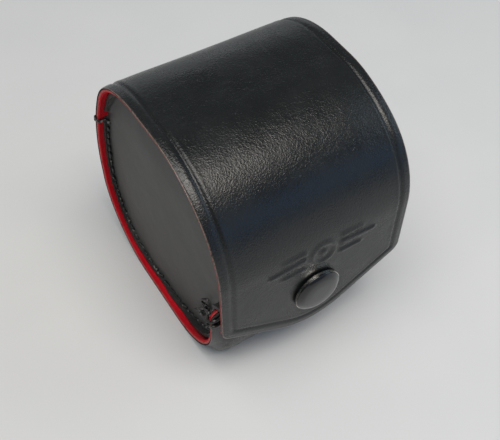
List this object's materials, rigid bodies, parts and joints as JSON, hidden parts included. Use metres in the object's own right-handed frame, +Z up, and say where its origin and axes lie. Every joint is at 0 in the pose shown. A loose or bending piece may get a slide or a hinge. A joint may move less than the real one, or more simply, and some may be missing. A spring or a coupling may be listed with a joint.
{
  "type": "lens accessory case",
  "caption": "Small moulded leather case with two sewn-in end panels, a red lining and a flap that closes over the front with a press stud.",
  "frame": {"origin": "on the underside, at the middle of the flat bottom of the case", "axes": "+X along the case, from the left end panel to the right one; -Y to the front, where the press stud is; +Z up"},
  "size_m": [0.0592, 0.0769, 0.0763],
  "materials": {
    "strip_leather": "semi-gloss black with a fine pebble grain",
    "panel_leather": "matt black-grey, smooth",
    "board": "bare leatherboard",
    "lining": "matt red cloth",
    "thread": "waxed black thread",
    "lacquer": "glossy black lacquer",
    "snap_metal": "nickel plated",
    "spring_wire": "bare spring wire"
  },
  "bodies": {
    "case": {"body_leather": "strip_leather", "body_board": "board", "body_lining": "lining", "left_panel_leather": "panel_leather", "left_panel_board": "board", "left_panel_lining": "lining", "right_panel_leather": "panel_leather", "right_panel_board": "board", "right_panel_lining": "lining", "left_seam_thread": "thread", "right_seam_thread": "thread", "left_seam_ties": "thread", "right_seam_ties": "thread", "snap_stud": "snap_metal", "snap_washer": "snap_metal"},
    "flap": {"flap_leather": "strip_leather", "flap_board": "board", "flap_lining": "lining", "snap_cap": "lacquer", "snap_post": "snap_metal", "snap_socket": "snap_metal", "snap_spring": "spring_wire"}
  },
  "joints": [
    {"name": "flap_open", "type": "hinge", "parent": "case", "child": "flap", "pos_m": [0, 0.02546, 0.05951], "axis": [-1, 0, 0], "range_deg": [0, 110], "deforming": ["snap_spring"]}
  ]
}
